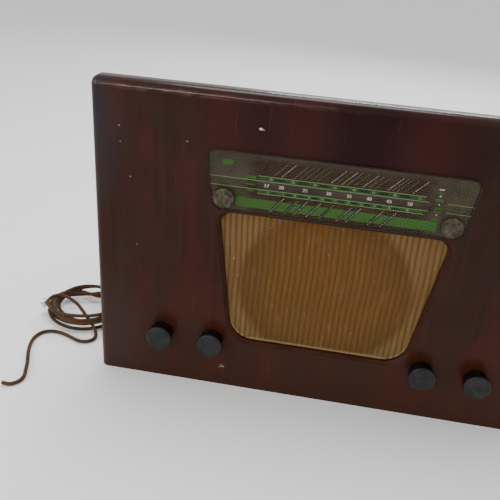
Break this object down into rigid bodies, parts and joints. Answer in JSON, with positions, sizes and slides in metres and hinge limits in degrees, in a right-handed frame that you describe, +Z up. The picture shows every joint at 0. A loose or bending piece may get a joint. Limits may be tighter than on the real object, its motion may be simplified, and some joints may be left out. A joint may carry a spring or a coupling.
{
  "type": "table radio",
  "caption": "Table radio with a wide glossy wooden front panel, sloping-sided dial glass over a trapezoid speaker opening, round bakelite knobs and a coiled braided mains cord.",
  "frame": {"origin": "middle of the front panel's bottom edge, half way through the panel's thickness, on the surface the set stands on", "axes": "+X to the right seen from the front, +Y to the rear, +Z up"},
  "size_m": [0.69, 0.3396, 0.384],
  "materials": {
    "veneer_wood": "high gloss lacquer, worn",
    "plywood": "satin stain",
    "hardboard": "matt fibreboard",
    "board": "raw plywood",
    "grille_cloth": "ribbed woven cloth",
    "glass": "clear, tinted by age",
    "nickel": "tarnished nickel",
    "felt": "felt",
    "dial_paint": "matt paint",
    "speaker_steel": "satin paint",
    "paper": "pressed paper",
    "bakelite": "polished bakelite, hazed",
    "rubber": "matt",
    "sheet_steel": "plated sheet",
    "control_body": "satin",
    "paxolin": "resin board",
    "shaft_steel": "drawn",
    "brass": "dull",
    "aluminium": "dull",
    "pointer_paint": "cream paint",
    "pulley_brass": "turned",
    "dial_cord": "waxed braid",
    "lamp_glass": "clear",
    "iron": "black varnish",
    "valve_glass": "clear, dark getter",
    "cord_braid": "braided cotton"
  },
  "bodies": {
    "receiver": {"front_panel": "veneer_wood", "case_top": "plywood", "case_bottom": "plywood", "case_left_side": "plywood", "case_right_side": "plywood", "back_cover": "hardboard", "back_screws": "brass", "rear_feet": "rubber", "dial_glass": "glass", "glass_caps": "nickel", "glass_washers": "felt", "dial_plate": "dial_paint", "speaker_board": "board", "speaker_cloth": "grille_cloth", "speaker_frame": "speaker_steel", "speaker_cone": "paper", "speaker_magnet": "speaker_steel", "speaker_screws": "sheet_steel", "chassis": "sheet_steel", "chassis_bolts": "sheet_steel", "volume_pot": "control_body", "tone_pot": "control_body", "band_switch": "paxolin", "control_nuts": "nickel", "spindle_bush": "brass", "gang_frame": "sheet_steel", "gang_stator": "aluminium", "gang_bracket": "sheet_steel", "drum_bracket": "sheet_steel", "pointer_rail": "sheet_steel", "pulley_bar": "sheet_steel", "pointer_cord": "dial_cord", "drive_cord": "dial_cord", "dial_lamps": "lamp_glass", "lamp_holders": "paxolin", "mains_transformer": "iron", "output_transformer": "iron", "valves": "valve_glass", "valve_sockets": "paxolin", "if_cans": "aluminium", "smoothing_capacitor": "aluminium", "aerial_socket_plate": "paxolin", "cord_gland": "rubber", "cord_lead": "cord_braid", "cord_hank": "cord_braid", "cord_tail": "cord_braid"},
    "volume": {"volume_knob": "bakelite", "volume_shaft": "shaft_steel"},
    "tone": {"tone_knob": "bakelite", "tone_shaft": "shaft_steel"},
    "band": {"band_knob": "bakelite", "band_shaft": "shaft_steel"},
    "tuning": {"tuning_knob": "bakelite", "tuning_spindle": "shaft_steel"},
    "drum": {"drive_drum": "aluminium", "gang_rotor": "aluminium"},
    "pointer_slide": {"pointer": "pointer_paint"},
    "left_pulley": {"pulley_left": "pulley_brass"},
    "right_pulley": {"pulley_right": "pulley_brass"},
    "middle_pulley": {"pulley_middle": "pulley_brass"}
  },
  "joints": [
    {"name": "volume_turn", "type": "hinge", "parent": "receiver", "child": "volume", "pos_m": [-0.1955, 0, 0.0706], "axis": [0, 1, 0], "range_deg": [0, 290]},
    {"name": "tone_turn", "type": "hinge", "parent": "receiver", "child": "tone", "pos_m": [-0.1306, 0, 0.0706], "axis": [0, 1, 0], "range_deg": [0, 290]},
    {"name": "band_turn", "type": "hinge", "parent": "receiver", "child": "band", "pos_m": [0.1306, 0, 0.0706], "axis": [0, 1, 0], "range_deg": [0, 90]},
    {"name": "gang_turn", "type": "hinge", "parent": "receiver", "child": "drum", "pos_m": [0.165, 0, 0.15], "axis": [0, 1, 0], "range_deg": [0, 180]},
    {"name": "tuning_turn", "type": "hinge", "parent": "receiver", "child": "tuning", "pos_m": [0.1955, 0, 0.0706], "axis": [0, 1, 0], "range_deg": [-100, 2047]},
    {"name": "pointer_travel", "type": "slide", "parent": "receiver", "child": "pointer_slide", "axis": [1, 0, 0], "range_m": [-0.0005, 0.18397]},
    {"name": "left_pulley_turn", "type": "hinge", "parent": "receiver", "child": "left_pulley", "pos_m": [-0.15, 0, 0.311], "axis": [0, 1, 0], "range_deg": [-100, 1352]},
    {"name": "right_pulley_turn", "type": "hinge", "parent": "receiver", "child": "right_pulley", "pos_m": [0.215, 0, 0.311], "axis": [0, 1, 0], "range_deg": [-100, 1352]},
    {"name": "middle_pulley_turn", "type": "hinge", "parent": "receiver", "child": "middle_pulley", "pos_m": [0.0982, 0, 0.2942], "axis": [0, 1, 0], "range_deg": [-1352, 100]}
  ],
  "couplings": [
    {"joint": "tuning_turn", "follows": "gang_turn", "ratio": 10.815},
    {"joint": "pointer_travel", "follows": "gang_turn", "m_per_rad": 0.0584},
    {"joint": "left_pulley_turn", "follows": "gang_turn", "ratio": 6.9524},
    {"joint": "right_pulley_turn", "follows": "gang_turn", "ratio": 6.9524},
    {"joint": "middle_pulley_turn", "follows": "gang_turn", "ratio": -6.9524}
  ]
}
